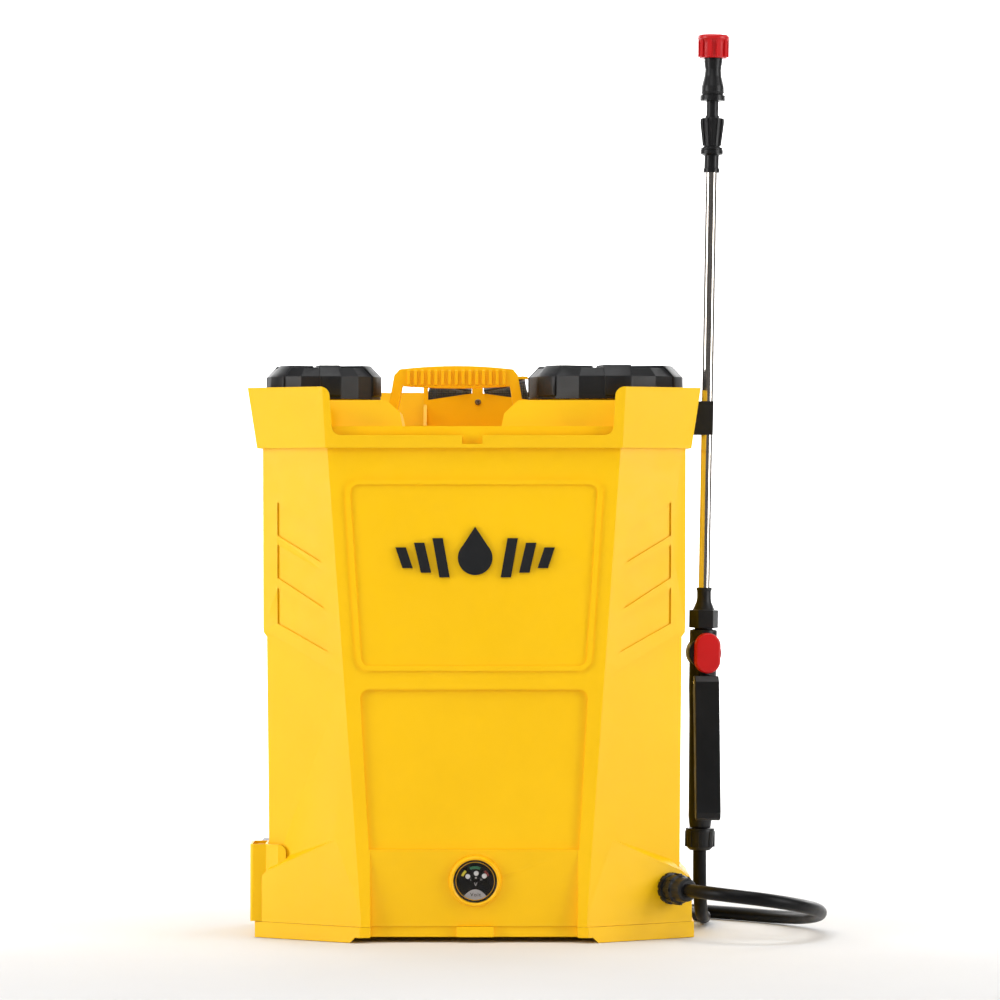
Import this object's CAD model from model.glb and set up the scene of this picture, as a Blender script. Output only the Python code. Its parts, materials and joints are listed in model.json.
import json
import math

import bmesh
import bpy
from mathutils import Matrix, Vector


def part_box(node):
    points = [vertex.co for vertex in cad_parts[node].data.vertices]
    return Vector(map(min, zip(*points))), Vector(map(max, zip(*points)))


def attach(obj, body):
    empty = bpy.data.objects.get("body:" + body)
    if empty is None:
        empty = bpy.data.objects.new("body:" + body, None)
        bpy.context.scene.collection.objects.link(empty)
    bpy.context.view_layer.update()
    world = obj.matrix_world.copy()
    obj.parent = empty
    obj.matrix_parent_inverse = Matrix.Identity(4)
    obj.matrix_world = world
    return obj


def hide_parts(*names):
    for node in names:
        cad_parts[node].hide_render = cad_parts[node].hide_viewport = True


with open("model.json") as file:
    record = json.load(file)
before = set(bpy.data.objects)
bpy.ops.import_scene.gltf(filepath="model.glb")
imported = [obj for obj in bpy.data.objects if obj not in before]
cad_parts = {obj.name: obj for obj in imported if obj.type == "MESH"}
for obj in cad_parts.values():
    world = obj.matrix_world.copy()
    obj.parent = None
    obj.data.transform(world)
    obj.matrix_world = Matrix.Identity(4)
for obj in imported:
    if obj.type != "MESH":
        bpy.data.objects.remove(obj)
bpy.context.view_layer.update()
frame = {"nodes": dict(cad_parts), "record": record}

NODES = frame["nodes"]
MM = 0.001


# ---------------------------------------------------------------- camera and studio
CAMERA_AT = (22.5 * MM, -4.105, 384 * MM)
LENS_MM = 166.3


def add_camera():
    """Square on to the front, from the middle of the object's height."""
    data = bpy.data.cameras.new("camera")
    data.sensor_width = 36.0
    data.lens = LENS_MM
    data.clip_end = 60.0
    camera = bpy.data.objects.new("camera", data)
    camera.location = CAMERA_AT
    camera.rotation_euler = (math.radians(90), 0, 0)
    bpy.context.scene.collection.objects.link(camera)
    bpy.context.scene.camera = camera


add_camera()


def link_mesh(name, bm, smooth=True):
    """Turn a bmesh into a linked object of its own."""
    mesh = bpy.data.meshes.new(name)
    bm.to_mesh(mesh)
    bm.free()
    obj = bpy.data.objects.new(name, mesh)
    bpy.context.scene.collection.objects.link(obj)
    for face in mesh.polygons:
        face.use_smooth = smooth
    return obj


# ---------------------------------------------------------------- materials
def new_material(name):
    """A node material with its Principled shader."""
    mat = bpy.data.materials.new(name)
    mat.use_nodes = True
    return mat, mat.node_tree.nodes, mat.node_tree.links


def noise(nodes, links, scale, detail=3.0, rough=0.55):
    """Noise in object space; scale is features per metre."""
    coord = nodes.new("ShaderNodeTexCoord")
    tex = nodes.new("ShaderNodeTexNoise")
    tex.inputs["Scale"].default_value = scale
    tex.inputs["Detail"].default_value = detail
    tex.inputs["Roughness"].default_value = rough
    links.new(coord.outputs["Object"], tex.inputs["Vector"])
    return tex.outputs["Fac"]


def spread(nodes, links, value, low, high):
    """Map a 0 to 1 value onto a range."""
    remap = nodes.new("ShaderNodeMapRange")
    remap.inputs["From Min"].default_value = 0.3
    remap.inputs["From Max"].default_value = 0.7
    remap.inputs["To Min"].default_value = low
    remap.inputs["To Max"].default_value = high
    links.new(value, remap.inputs["Value"])
    return remap.outputs["Result"]


def blend_colour(nodes, links, value, first, second):
    """Run between two colours over the middle of a 0 to 1 value."""
    ramp = nodes.new("ShaderNodeValToRGB")
    ramp.color_ramp.elements[0].position = 0.3
    ramp.color_ramp.elements[0].color = (*first, 1)
    ramp.color_ramp.elements[1].position = 0.7
    ramp.color_ramp.elements[1].color = (*second, 1)
    links.new(value, ramp.inputs["Fac"])
    return ramp.outputs["Color"]


def bump(nodes, links, value, strength, distance):
    """A normal from a height, distance in metres."""
    node = nodes.new("ShaderNodeBump")
    node.inputs["Strength"].default_value = strength
    node.inputs["Distance"].default_value = distance
    links.new(value, node.inputs["Height"])
    return node.outputs["Normal"]


def moulded(name, first, second, rough, grain, grain_depth, spec=0.5):
    """Moulded plastic or rubber: slow colour drift, uneven gloss, fine surface grain."""
    mat, nodes, links = new_material(name)
    shader = nodes["Principled BSDF"]
    drift = noise(nodes, links, 9, 4)
    links.new(blend_colour(nodes, links, drift, first, second), shader.inputs["Base Color"])
    patch = noise(nodes, links, 60, 5, 0.6)
    links.new(spread(nodes, links, patch, rough - 0.05, rough + 0.06), shader.inputs["Roughness"])
    fine = noise(nodes, links, grain, 3, 0.6)
    links.new(bump(nodes, links, fine, 0.6, grain_depth), shader.inputs["Normal"])
    shader.inputs["Specular IOR Level"].default_value = spec
    return mat


def metal(name, first, second, rough, brushed):
    """Metal with a fine drawn grain along Z."""
    mat, nodes, links = new_material(name)
    shader = nodes["Principled BSDF"]
    shader.inputs["Metallic"].default_value = 1.0
    coord = nodes.new("ShaderNodeTexCoord")
    stretch = nodes.new("ShaderNodeMapping")
    stretch.inputs["Scale"].default_value = (1, 1, 0.03)
    grain = nodes.new("ShaderNodeTexNoise")
    grain.inputs["Scale"].default_value = brushed
    grain.inputs["Detail"].default_value = 4
    links.new(coord.outputs["Object"], stretch.inputs["Vector"])
    links.new(stretch.outputs["Vector"], grain.inputs["Vector"])
    drawn = grain.outputs["Fac"]
    gloss = spread(nodes, links, drawn, rough - 0.04, rough + 0.05)
    links.new(blend_colour(nodes, links, drawn, first, second), shader.inputs["Base Color"])
    links.new(gloss, shader.inputs["Roughness"])
    links.new(bump(nodes, links, drawn, 0.3, 0.00002), shader.inputs["Normal"])
    return mat


def woven(name, first, second, pitch, depth, rough=0.85):
    """Woven fabric: two crossed sets of yarns, pitch in metres."""
    mat, nodes, links = new_material(name)
    shader = nodes["Principled BSDF"]
    coord = nodes.new("ShaderNodeTexCoord")
    total = None
    for axis in ("X", "Z"):
        wave = nodes.new("ShaderNodeTexWave")
        wave.bands_direction = axis
        wave.inputs["Scale"].default_value = 0.314 / pitch
        wave.inputs["Distortion"].default_value = 0.4
        wave.inputs["Detail Scale"].default_value = 4
        links.new(coord.outputs["Object"], wave.inputs["Vector"])
        if total is None:
            total = wave.outputs["Fac"]
        else:
            both = nodes.new("ShaderNodeMath")
            both.operation = "MULTIPLY"
            links.new(total, both.inputs[0])
            links.new(wave.outputs["Fac"], both.inputs[1])
            total = both.outputs["Value"]
    links.new(blend_colour(nodes, links, total, first, second), shader.inputs["Base Color"])
    links.new(bump(nodes, links, total, 0.8, depth), shader.inputs["Normal"])
    shader.inputs["Roughness"].default_value = rough
    shader.inputs["Sheen Weight"].default_value = 0.35
    return mat


def clear_lens():
    """Clear plastic with a faint haze."""
    mat, nodes, links = new_material("lens")
    shader = nodes["Principled BSDF"]
    shader.inputs["Transmission Weight"].default_value = 1.0
    shader.inputs["IOR"].default_value = 1.18
    shader.inputs["Base Color"].default_value = (0.99, 0.99, 0.99, 1)
    haze = noise(nodes, links, 300, 3)
    links.new(spread(nodes, links, haze, 0.0, 0.02), shader.inputs["Roughness"])
    return mat


YELLOW = moulded("tank_yellow", (0.93, 0.535, 0.001), (0.97, 0.565, 0.002), 0.40, 900, 0.00006, 0.26)
TRIM = moulded("trim_yellow", (0.92, 0.475, 0.001), (0.96, 0.515, 0.002), 0.34, 1100, 0.00004, 0.30)
BLACK = moulded("black_plastic", (0.007, 0.0075, 0.0085), (0.012, 0.0125, 0.014), 0.40, 1300, 0.00012, 0.30)
GRIP = moulded("grip_black", (0.005, 0.005, 0.0055), (0.010, 0.010, 0.0105), 0.36, 1500, 0.00010, 0.26)
RED = moulded("red_plastic", (0.50, 0.006, 0.008), (0.58, 0.009, 0.010), 0.34, 900, 0.00004, 0.30)
HOSE = moulded("hose_black", (0.002, 0.002, 0.0023), (0.004, 0.004, 0.0044), 0.38, 500, 0.00003, 0.14)
RUBBER = moulded("rubber", (0.016, 0.016, 0.016), (0.028, 0.027, 0.026), 0.72, 1400, 0.00010)
INNER_HOSE = moulded("inner_hose", (0.34, 0.36, 0.38), (0.44, 0.46, 0.48), 0.30, 500, 0.00005)
BASKET = moulded("basket_grey", (0.10, 0.11, 0.12), (0.16, 0.17, 0.18), 0.5, 1000, 0.00008)
BATTERY = moulded("battery_grey", (0.05, 0.055, 0.065), (0.08, 0.085, 0.095), 0.5, 900, 0.00012)
DIAL = moulded("dial_black", (0.003, 0.003, 0.004), (0.006, 0.006, 0.007), 0.55, 2000, 0.00001, 0.08)
DIAL_GREY = moulded("dial_grey", (0.40, 0.38, 0.38), (0.48, 0.46, 0.46), 0.5, 2000, 0.00001)
DIAL_WHITE = moulded("dial_white", (0.68, 0.68, 0.68), (0.78, 0.78, 0.78), 0.4, 2000, 0.00001)
DIAL_YELLOW = moulded("dial_yellow", (0.7, 0.6, 0.03), (0.8, 0.7, 0.05), 0.4, 2000, 0.00001)
DIAL_GREEN = moulded("dial_green", (0.008, 0.13, 0.045), (0.012, 0.17, 0.06), 0.4, 2000, 0.00001)
DIAL_RED = moulded("dial_red", (0.17, 0.012, 0.014), (0.23, 0.018, 0.02), 0.4, 2000, 0.00001)
STAINLESS = metal("stainless", (0.56, 0.51, 0.46), (0.70, 0.65, 0.60), 0.13, 900)
ZINC = metal("zinc_steel", (0.50, 0.51, 0.53), (0.64, 0.65, 0.67), 0.34, 700)
OLD_SCREW = metal("weathered_screw", (0.16, 0.12, 0.09), (0.28, 0.23, 0.18), 0.46, 800)
PAD_FABRIC = woven("pad_fabric", (0.006, 0.006, 0.007), (0.030, 0.030, 0.033), 0.0022, 0.0005)
WEBBING = woven("webbing", (0.007, 0.007, 0.008), (0.034, 0.034, 0.037), 0.0012, 0.0004, 0.7)
THREAD = moulded("thread", (0.10, 0.10, 0.11), (0.16, 0.16, 0.17), 0.8, 3000, 0.0001)
LENS = clear_lens()

SLOT_MATERIALS = {
    "tank_yellow": YELLOW, "trim_yellow": TRIM, "black_plastic": BLACK, "grip_black": GRIP,
    "red_plastic": RED, "switch_red": RED, "stainless": STAINLESS, "zinc_steel": ZINC,
    "rubber": RUBBER, "hose_black": HOSE, "inner_hose": INNER_HOSE, "basket_grey": BASKET,
    "battery_grey": BATTERY, "motor_steel": ZINC, "pump_black": BLACK, "dial_black": DIAL,
    "led_white": DIAL_WHITE, "lens_clear": LENS, "pad_fabric": PAD_FABRIC, "webbing": WEBBING,
}


def dress(obj, material, body="root"):
    """Give a new piece its material and its body."""
    obj.data.materials.clear()
    obj.data.materials.append(material)
    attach(obj, body)


# ---------------------------------------------------------------- hose
HOSE_R = 6 * MM
COIL_CENTRE = (20, 203)
COIL_START_R = 72.0
COIL_PITCH = 12.8
COIL_FIRST, COIL_LAST, COIL_STEP = 75, 585, 30
FLOOR_LINE = 6.2
TANK_ROUTE = [
    (186.55, -82.56, 44), (199, -103, 44), (222, -120, 42.5), (252, -121, 39), (281, -103, 33),
    (299, -70, 26.5), (306, -31, 20), (304, 10, 13.5), (293, 48, 8.5), (272, 82, 6.2),
    (246, 110, 6.2), (217, 135, 6.2), (187, 158, 6.2), (158, 184, 6.2), (131, 212, 6.2),
    (102, 239, 6.2), (76.5, 256.5, 6.2),
]
LANCE_ROUTE = [
    (36, 144.5, 18.8), (72, 141, 18.8), (99, 145, 11), (126, 148, 6.2), (153, 146, 6.2),
    (177, 138, 6.2), (196, 124, 6.2), (207, 104, 6.2), (208, 81, 6.2), (205, 58, 8.5),
    (202.5, 38, 18), (201, 23, 34), (200.5, 16, 53), (200.55, 15, 71.5),
]


def coil_points():
    """The turns behind the tank, wound inward on the floor."""
    points = []
    for degrees in range(COIL_FIRST, COIL_LAST + 1, COIL_STEP):
        radius = COIL_START_R - COIL_PITCH * (degrees - COIL_FIRST) / 360
        angle = math.radians(degrees)
        x = COIL_CENTRE[0] + radius * math.cos(angle)
        y = COIL_CENTRE[1] + radius * math.sin(angle)
        points.append((x, y, FLOOR_LINE))
    return points


def add_hose():
    """The whole hose: tank outlet, coil behind the tank, up to the lance grip."""
    route = TANK_ROUTE + coil_points() + LANCE_ROUTE
    data = bpy.data.curves.new("hose", "CURVE")
    data.dimensions = "3D"
    spline = data.splines.new("NURBS")
    spline.points.add(len(route) - 1)
    for point, place in zip(spline.points, route):
        point.co = (place[0] * MM, place[1] * MM, place[2] * MM, 1)
    spline.order_u = 3
    spline.use_endpoint_u = True
    spline.resolution_u = 10
    data.bevel_depth = HOSE_R
    data.bevel_resolution = 6
    hose = bpy.data.objects.new("hose", data)
    bpy.context.scene.collection.objects.link(hose)
    dress(hose, HOSE)
    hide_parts("hose_run_tank", "hose_coil", "hose_run_lance")
    return hose, route


def add_hose_tie():
    """A hook-and-loop band round the coil's turns."""
    bm = bmesh.new()
    half_width, half_height, thick, across = 15.0, 7.2, 1.6, 14.0
    centre = Vector((-40.5, COIL_CENTRE[1], 7.4))
    rings = []
    for corner in range(32):
        angle = 2 * math.pi * corner / 32
        power = 0.45
        c, s = math.cos(angle), math.sin(angle)
        x = math.copysign(abs(c) ** power, c)
        z = math.copysign(abs(s) ** power, s)
        inner = Vector((x * (half_width - thick), 0, z * (half_height - thick)))
        outer = Vector((x * half_width, 0, z * half_height))
        ring = []
        for offset_y in (-across / 2, across / 2):
            side = Vector((0, offset_y, 0))
            ring.append(bm.verts.new((centre + inner + side) * MM))
            ring.append(bm.verts.new((centre + outer + side) * MM))
        rings.append(ring)
    for ring, after in zip(rings, rings[1:] + rings[:1]):
        for a, b in ((0, 1), (1, 3), (3, 2), (2, 0)):
            bm.faces.new((ring[a], ring[b], after[b], after[a]))
    bmesh.ops.recalc_face_normals(bm, faces=bm.faces)
    tie = link_mesh("coil_tie", bm)
    edge = tie.modifiers.new("edge", "BEVEL")
    edge.width = 0.4 * MM
    edge.segments = 2
    dress(tie, WEBBING)
    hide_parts("hose_tie")
    return tie


hose, hose_route = add_hose()
coil_tie = add_hose_tie()


# ---------------------------------------------------------------- CAD nodes
def soften(node, width, segments=2, angle=28):
    """Round a moulded node's sharp edges."""
    obj = NODES[node]
    weld = obj.modifiers.new("weld", "WELD")
    weld.merge_threshold = 0.00002
    edge = obj.modifiers.new("edge", "BEVEL")
    edge.width = width * MM
    edge.segments = segments
    edge.limit_method = "ANGLE"
    edge.angle_limit = math.radians(angle)
    edge.use_clamp_overlap = True
    edge.harden_normals = True
    edge.miter_outer = "MITER_ARC"


def dress_nodes():
    """Give every CAD node the material of its slot."""
    for part in frame["record"]["subparts"]:
        obj = NODES[part["node"]]
        obj.data.materials.clear()
        obj.data.materials.append(SLOT_MATERIALS[part["material_slot"]])
    NODES["bracket_screws"].data.materials[0] = OLD_SCREW


SOFT_EDGES = {
    "tank": 2.2, "top_collar": 1.6, "carry_handle": 1.2, "base_plate": 1.2,
    "main_cap": 0.9, "small_cap": 0.9, "lance_holster": 0.9, "lance_clip": 0.8, "badge": 0.5,
    "trigger_lever": 1.6, "grip_body": 0.7, "outlet_hex": 0.5, "inlet_nut": 0.4,
    "outlet_nut": 0.4, "swivel_nut": 0.3, "nozzle_cap": 0.5, "switch_housing": 0.5,
    "speed_knob": 0.4, "power_switch": 0.6, "battery": 1.0, "pump_head": 1.2, "strap_buckles": 0.5,
    "strap_hooks": 0.8, "gauge_bezel": 0.3,
}
dress_nodes()
for node_name, radius in SOFT_EDGES.items():
    soften(node_name, radius)


# ---------------------------------------------------------------- soft goods: helpers
def evaluated_mesh(obj):
    """The object's mesh with its modifiers worked in."""
    depsgraph = bpy.context.evaluated_depsgraph_get()
    return bpy.data.meshes.new_from_object(obj.evaluated_get(depsgraph))


def bake_modifiers(obj):
    """Work the modifiers into the object's mesh."""
    mesh = evaluated_mesh(obj)
    obj.modifiers.clear()
    obj.data = mesh


def puff(obj, voxel, cap, pressure=4.0):
    """Blow a closed form up as sewn cloth, no point moving more than the cap."""
    remesh = obj.modifiers.new("remesh", "REMESH")
    remesh.mode = "VOXEL"
    remesh.voxel_size = voxel * MM
    bake_modifiers(obj)
    before = [vert.co.copy() for vert in obj.data.vertices]
    cloth = obj.modifiers.new("cloth", "CLOTH")
    cloth.settings.use_pressure = True
    cloth.settings.uniform_pressure_force = pressure
    cloth.settings.effector_weights.gravity = 0
    for frame_number in range(1, 21):
        bpy.context.scene.frame_set(frame_number)
    bake_modifiers(obj)
    bpy.context.scene.frame_set(1)
    for vert, start in zip(obj.data.vertices, before):
        move = vert.co - start
        if move.length > cap * MM:
            vert.co = start + move.normalized() * cap * MM
    finer = obj.modifiers.new("finer", "SUBSURF")
    finer.levels = 1
    finer.render_levels = 1
    bake_modifiers(obj)
    for face in obj.data.polygons:
        face.use_smooth = True


def curve_through(points, steps):
    """Even stations along a smooth line through the points (Catmull-Rom)."""
    ends = [points[0] * 2 - points[1]] + list(points) + [points[-1] * 2 - points[-2]]
    line = []
    for a, b, c, d in zip(ends, ends[1:], ends[2:], ends[3:]):
        for step in range(steps):
            t = step / steps
            line.append(
                0.5 * (2 * b + (c - a) * t + (2 * a - 5 * b + 4 * c - d) * t ** 2
                       + (3 * b - a - 3 * c + d) * t ** 3)
            )
    line.append(Vector(points[-1]))
    return line


def loft(name, rings):
    """Skin closed rings of points and cap both ends."""
    bm = bmesh.new()
    rows = [[bm.verts.new(point) for point in ring] for ring in rings]
    for row, after in zip(rows, rows[1:]):
        count = len(row)
        for i in range(count):
            j = (i + 1) % count
            bm.faces.new((row[i], row[j], after[j], after[i]))
    bm.faces.new(rows[0])
    bm.faces.new(rows[-1])
    bmesh.ops.recalc_face_normals(bm, faces=bm.faces)
    return link_mesh(name, bm)


def rounded_ring(half_x, half_y, count, power):
    """A rounded-rectangle ring as (x, y) pairs."""
    ring = []
    for i in range(count):
        angle = 2 * math.pi * (i + 0.5) / count
        c, s = math.cos(angle), math.sin(angle)
        ring.append((
            half_x * math.copysign(abs(c) ** power, c),
            half_y * math.copysign(abs(s) ** power, s),
        ))
    return ring


def stitches(name, lines, surface, pitch=4.6, length=3.0, radius=0.42):
    """Thread dashes along lines, laid on a piece's surface as seen from behind it."""
    bm = bmesh.new()
    for line in lines:
        carried = 0.0
        for start, end in zip(line, line[1:]):
            span = (end - start).length
            direction = (end - start).normalized()
            while carried < span:
                spot = start + direction * carried
                carried += pitch * MM
                above = spot + Vector((0, 0.05, 0))
                hit, place, normal, _ = surface.ray_cast(above, Vector((0, -1, 0)))
                if not hit:
                    continue
                along = (direction - normal * direction.dot(normal)).normalized()
                side = normal.cross(along)
                turn = Matrix((along, side, normal)).transposed().to_4x4()
                scale = Matrix.Diagonal((length / 2 * MM, radius * MM, radius * MM, 1))
                bmesh.ops.create_icosphere(
                    bm, subdivisions=1, radius=1,
                    matrix=Matrix.Translation(place + normal * 0.1 * MM) @ turn @ scale,
                )
            carried -= span
    piece = link_mesh(name, bm)
    dress(piece, THREAD)
    return piece


# ---------------------------------------------------------------- back pad
PAD_BORDER = 15
PAD_SEAMS = (-74, -37, 0, 37, 74)
SEAM_WIDTH = 3.4
SEAM_DEPTH = 3.0


def add_back_pad():
    """The cushion against the wearer's back, with sewn upright channels."""
    low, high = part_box("back_pad")
    middle = (Vector(low) + Vector(high)) / 2
    half = (Vector(high) - Vector(low)) / 2 / MM
    rings = []
    for depth, shrink in ((0.2, 7), (1.2, 4), (4, 2.5), (7, 3.5), (9, 6), (10.2, 11)):
        flat = rounded_ring(half.x - shrink, half.z - shrink, 96, 0.34)
        rings.append([
            Vector((middle.x + x * MM, low[1] + depth * MM, middle.z + z * MM)) for x, z in flat
        ])
    pad = loft("back_cushion", rings)
    puff(pad, 5, 3.4)
    for vert in pad.data.vertices:
        x = (vert.co.x - middle.x) / MM
        z = (vert.co.z - middle.z) / MM
        if vert.co.y < low[1] + 5 * MM:
            vert.co.y = max(vert.co.y, low[1] + 0.1 * MM)
            continue
        groove = 0.0
        if abs(x) < half.x - 17 and abs(z) < half.z - PAD_BORDER:
            groove = max(math.exp(-((x - seam) / SEAM_WIDTH) ** 2) for seam in PAD_SEAMS)
        border = max(abs(x) - (half.x - PAD_BORDER), abs(z) - (half.z - PAD_BORDER))
        groove = max(groove, math.exp(-(border / SEAM_WIDTH) ** 2))
        vert.co.y -= SEAM_DEPTH * groove * MM
    dress(pad, PAD_FABRIC)
    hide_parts("back_pad")
    lines = []
    for seam in PAD_SEAMS:
        lines.append([middle + Vector((seam, 0, z)) * MM for z in (-half.z + 17, half.z - 17)])
    edge_x, edge_z = half.x - PAD_BORDER, half.z - PAD_BORDER
    corners = [(-edge_x, -edge_z), (edge_x, -edge_z), (edge_x, edge_z), (-edge_x, edge_z)]
    corners.append(corners[0])
    lines.append([middle + Vector((x, 0, z)) * MM for x, z in corners])
    stitches("back_cushion_stitches", lines, pad)
    add_binding(middle, half, low[1] + 5.2 * MM)


def add_binding(middle, half, depth):
    """The bound edge round the pad."""
    data = bpy.data.curves.new("back_cushion_binding", "CURVE")
    data.dimensions = "3D"
    spline = data.splines.new("NURBS")
    ring = rounded_ring(half.x - 1.9, half.z - 1.9, 64, 0.34)
    spline.points.add(len(ring) - 1)
    for point, (x, z) in zip(spline.points, ring):
        point.co = (middle.x + x * MM, depth, middle.z + z * MM, 1)
    spline.use_cyclic_u = True
    spline.order_u = 3
    data.bevel_depth = 2.0 * MM
    data.bevel_resolution = 3
    binding = bpy.data.objects.new("back_cushion_binding", data)
    bpy.context.scene.collection.objects.link(binding)
    dress(binding, WEBBING)


# ---------------------------------------------------------------- shoulder straps
# The straps hang in two planes that lean outward. Paths are (distance back from the middle,
# height along the plane from the bracket), in mm.
STRAP_TOP = (2, 488.5)
STRAP_HALF = 21.2
STRAP_SEAM = 15.5
STRAP_SPREAD = 24.5
STRAP_TILT = math.tan(math.radians(12))
PAD_BACK = [
    (106, 6), (119, 7.5), (133, 3), (149, -15), (163, -72), (168, -160), (160, -262), (147, -320),
]
PAD_FRONT = [
    (106, -3), (118, -4), (128, -7), (140, -24), (152, -74), (157, -160), (149, -258), (137, -317),
]
LOWER_PATH = [
    (139, -312), (134, -334), (124.6, -375), (120.4, -396), (119.7, -414), (119.6, -430),
    (118.4, -436), (115.5, -438), (112.4, -436), (111.2, -430), (111.3, -416), (114.2, -404),
    (117.6, -397),
]


def strap_point(side, deep, up, across):
    """A point on a strap's own upright plane, leaning outward going down."""
    tilt = Vector((-side * STRAP_TILT, 0, 1)).normalized()
    width = Vector((0, 1, 0)).cross(tilt)
    origin = Vector((STRAP_TOP[0] + side * STRAP_SPREAD, 0, STRAP_TOP[1]))
    return (origin + Vector((0, deep, 0)) + tilt * up + width * across) * MM


def band(name, side, path, half_width, thickness):
    """Flat webbing along a path on the strap's plane."""
    line = curve_through([Vector(point) for point in path], 6)
    rings = []
    for i, here in enumerate(line):
        before, after = line[max(i - 1, 0)], line[min(i + 1, len(line) - 1)]
        direction = (after - before).normalized()
        normal = Vector((-direction.y, direction.x))
        ring = []
        for across, lift in rounded_ring(half_width, thickness / 2, 20, 0.3):
            spot = here + normal * lift
            ring.append(strap_point(side, spot.x, spot.y, across))
        rings.append(ring)
    piece = loft(name, rings)
    dress(piece, WEBBING)
    return piece


def add_shoulder_strap(side, name):
    """One padded strap with its webbing, seams and box stitch."""
    back = curve_through([Vector(point) for point in PAD_BACK], 9)
    front = curve_through([Vector(point) for point in PAD_FRONT], 9)
    rings = []
    last = len(back) - 1
    for i, (outer, inner) in enumerate(zip(back, front)):
        end = min(i, last - i)
        taper = min(1.0, 0.72 + 0.1 * end)
        ring = []
        half_width = STRAP_HALF * min(1.0, 0.95 + 0.02 * end)
        for across, lift in rounded_ring(half_width, 0.40 * taper, 36, 0.5):
            spot = (outer + inner) / 2 + (outer - inner) * lift
            ring.append(strap_point(side, spot.x, spot.y, across))
        rings.append(ring)
    strap = loft(name + "_pad", rings)
    puff(strap, 4.5, 1.9, 3.0)
    tilt = Vector((-side * STRAP_TILT, 0, 1)).normalized()
    width = Vector((0, 1, 0)).cross(tilt)
    origin = strap_point(side, 0, 0, 0)
    normals = [vert.normal.copy() for vert in strap.data.vertices]
    for vert, normal in zip(strap.data.vertices, normals):
        across = (vert.co - origin).dot(width) / MM
        groove = math.exp(-((abs(across) - STRAP_SEAM) / 2.2) ** 2)
        vert.co -= normal * 1.5 * groove * MM
    dress(strap, PAD_FABRIC)
    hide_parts(name)
    lines = []
    for across in (-STRAP_SEAM, STRAP_SEAM):
        lines.append([strap_point(side, 140, up, across) for up in (-26, -306)])
    stitches(name + "_stitches", lines, strap)
    top_band = [(95, -1.4), (101, -1.4), (106, -0.6), (112, 0.4)]
    band(name + "_top_webbing", side, top_band, 19.1, 2.3)
    face = [(p[0] + 0.9, p[1]) for p in PAD_BACK[3:]]
    run = band(name + "_face_webbing", side, face, 12.5, 2.2)
    tail = band(name + "_tail", side, LOWER_PATH, 12.3, 1.9)
    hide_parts("lower_webbing")
    box = [(-9, -286), (9, -286), (9, -306), (-9, -306), (-9, -286), (9, -306)]
    cross = [[strap_point(side, 140, up, across) for across, up in box]]
    stitches(name + "_box_stitch", cross, run)


add_back_pad()
add_shoulder_strap(-1, "shoulder_strap_left")
add_shoulder_strap(1, "shoulder_strap_right")


# ---------------------------------------------------------------- battery gauge print
GAUGE_AT = Vector((1, -101.5, 54))
GAUGE_OUT = Vector((0, -81, -10.5)).normalized()
GAUGE_UP = GAUGE_OUT.cross(Vector((1, 0, 0)))
PRINT_HEIGHT = 1.64


def gauge_matrix(height):
    """From the dial's flat, in mm, to the frame, in metres."""
    turn = Matrix((Vector((1, 0, 0)), GAUGE_UP, GAUGE_OUT)).transposed().to_4x4()
    place = Matrix.Translation((GAUGE_AT + GAUGE_OUT * height) * MM)
    return place @ turn @ Matrix.Scale(MM, 4)


def print_patch(name, inner, outer, material):
    """A printed patch between two lines of (x, y) points on the dial."""
    bm = bmesh.new()
    rows = []
    for (ax, ay), (bx, by) in zip(inner, outer):
        row = []
        for height in (0.0, 0.05):
            matrix = gauge_matrix(PRINT_HEIGHT + height)
            row += [bm.verts.new(matrix @ Vector((x, y, 0))) for x, y in ((ax, ay), (bx, by))]
        rows.append(row)
    for low, high in zip(rows, rows[1:]):
        for a, b in ((2, 3), (3, 1), (1, 0), (0, 2)):
            bm.faces.new((low[a], low[b], high[b], high[a]))
    bmesh.ops.recalc_face_normals(bm, faces=bm.faces)
    dress(link_mesh(name, bm, smooth=False), material)


def arc(radius, start, end, steps=24):
    """Points along an arc, angles in degrees."""
    line = []
    for step in range(steps + 1):
        angle = math.radians(start + (end - start) * step / steps)
        line.append((radius * math.cos(angle), radius * math.sin(angle)))
    return line


def print_word(name, word, place, size, material):
    """A small printed word or letter on the dial."""
    data = bpy.data.curves.new(name, "FONT")
    data.body = word
    data.size = size
    data.align_x = "CENTER"
    data.align_y = "CENTER"
    data.extrude = 0.02
    data.offset = 0.03
    data.space_character = 1.2
    label = bpy.data.objects.new(name, data)
    shift = Matrix.Translation((place[0], place[1], 0))
    label.matrix_world = gauge_matrix(PRINT_HEIGHT + 0.08) @ shift
    bpy.context.scene.collection.objects.link(label)
    dress(label, material)


print_patch("dial_low_arc", arc(11.0, 132, 158), arc(13.2, 132, 158), DIAL_YELLOW)
print_patch("dial_mid_arc", arc(10.8, 68, 112), arc(13.2, 68, 112), DIAL_GREEN)
print_patch("dial_high_arc", arc(11.0, 22, 48), arc(13.2, 22, 48), DIAL_RED)
print_patch("dial_ring", arc(16.5, 0, 360, 72), arc(17.0, 0, 360, 72), TRIM)
foot_arc = arc(16.3, 233, 307)
foot_top = [(x, max(y, -7.2 - 4.6 * (x / 8.6) ** 2)) for x, y in foot_arc]
print_patch("dial_foot", foot_arc, foot_top, DIAL_GREY)
print_word("dial_unit", "Volt", (0.3, -12.0), 4.6, DIAL)
print_word("dial_sign", "V", (0.4, -2.9), 4.8, DIAL_GREY)
print_word("dial_low_mark", "L", (-3.9, 1.2), 2.4, DIAL_GREY)
print_word("dial_mid_mark", "M", (0.6, 2.9), 2.4, DIAL_GREY)
print_word("dial_high_mark", "H", (5.2, 1.4), 2.4, DIAL_GREY)


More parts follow.
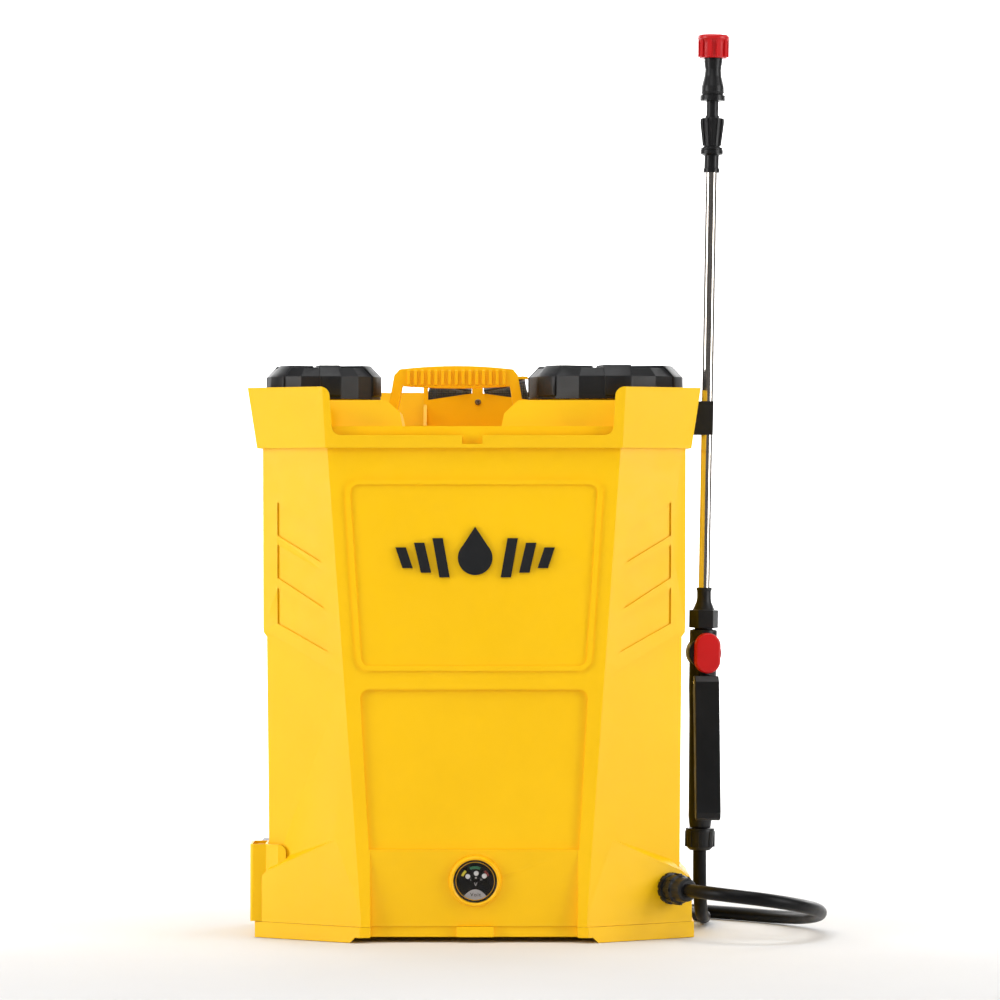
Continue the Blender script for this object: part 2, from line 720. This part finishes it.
# ---------------------------------------------------------------- studio
def add_backdrop():
    """A seamless sweep: floor in front, curving up to a wall behind."""
    bm = bmesh.new()
    profile = [(-9.0, 0.0), (3.0, 0.0)]
    for step in range(1, 17):
        angle = math.radians(90 * step / 16)
        profile.append((3.0 + 2.5 * math.sin(angle), 2.5 * (1 - math.cos(angle))))
    profile.append((5.5, 9.0))
    rows = [[bm.verts.new((x, y, z - 0.0003)) for x in (-9, 9)] for y, z in profile]
    for low, high in zip(rows, rows[1:]):
        bm.faces.new((low[0], low[1], high[1], high[0]))
    sweep = link_mesh("backdrop", bm)
    mat, nodes, links = new_material("studio_white")
    shader = nodes["Principled BSDF"]
    shader.inputs["Roughness"].default_value = 0.9
    shader.inputs["Specular IOR Level"].default_value = 0.1
    grain = noise(nodes, links, 3, 3)
    paper = blend_colour(nodes, links, grain, (0.72, 0.72, 0.72), (0.74, 0.74, 0.74))
    links.new(paper, shader.inputs["Base Color"])
    sweep.data.materials.append(mat)


def add_light(name, place, target, size, power):
    """A rectangular area light aimed at a point."""
    data = bpy.data.lights.new(name, "AREA")
    data.shape = "RECTANGLE"
    data.size, data.size_y = size
    data.energy = power
    light = bpy.data.objects.new(name, data)
    light.location = place
    light.rotation_euler = (Vector(target) - Vector(place)).to_track_quat("-Z", "Y").to_euler()
    bpy.context.scene.collection.objects.link(light)


def add_studio():
    """Soft lights at the sides, top, front and back, and one on the backdrop."""
    world = bpy.data.worlds.new("studio")
    world.use_nodes = True
    world.node_tree.nodes["Background"].inputs["Color"].default_value = (1, 1, 1, 1)
    world.node_tree.nodes["Background"].inputs["Strength"].default_value = 0.13
    bpy.context.scene.world = world
    middle = (0.0, 0.0, 0.32)
    add_light("key_left", (-2.5, -1.05, 0.9), middle, (1.0, 2.0), 46)
    add_light("key_right", (2.5, -1.05, 0.9), middle, (1.0, 2.0), 46)
    add_light("front_fill", (-0.9, -3.2, 2.4), middle, (1.0, 0.6), 20)
    add_light("top", (0.0, -0.5, 2.6), middle, (2.0, 1.6), 34)
    add_light("back_left", (-1.8, 2.4, 1.5), (0, 0, 0.35), (1.2, 1.2), 26)
    add_light("back_right", (1.8, 2.4, 1.5), (0, 0, 0.35), (1.2, 1.2), 26)
    add_light("backdrop_wash", (0.0, 2.2, 3.4), (0.0, 5.2, 1.2), (5.0, 1.0), 520)
    bpy.context.scene.view_settings.view_transform = "Standard"


add_backdrop()
add_studio()
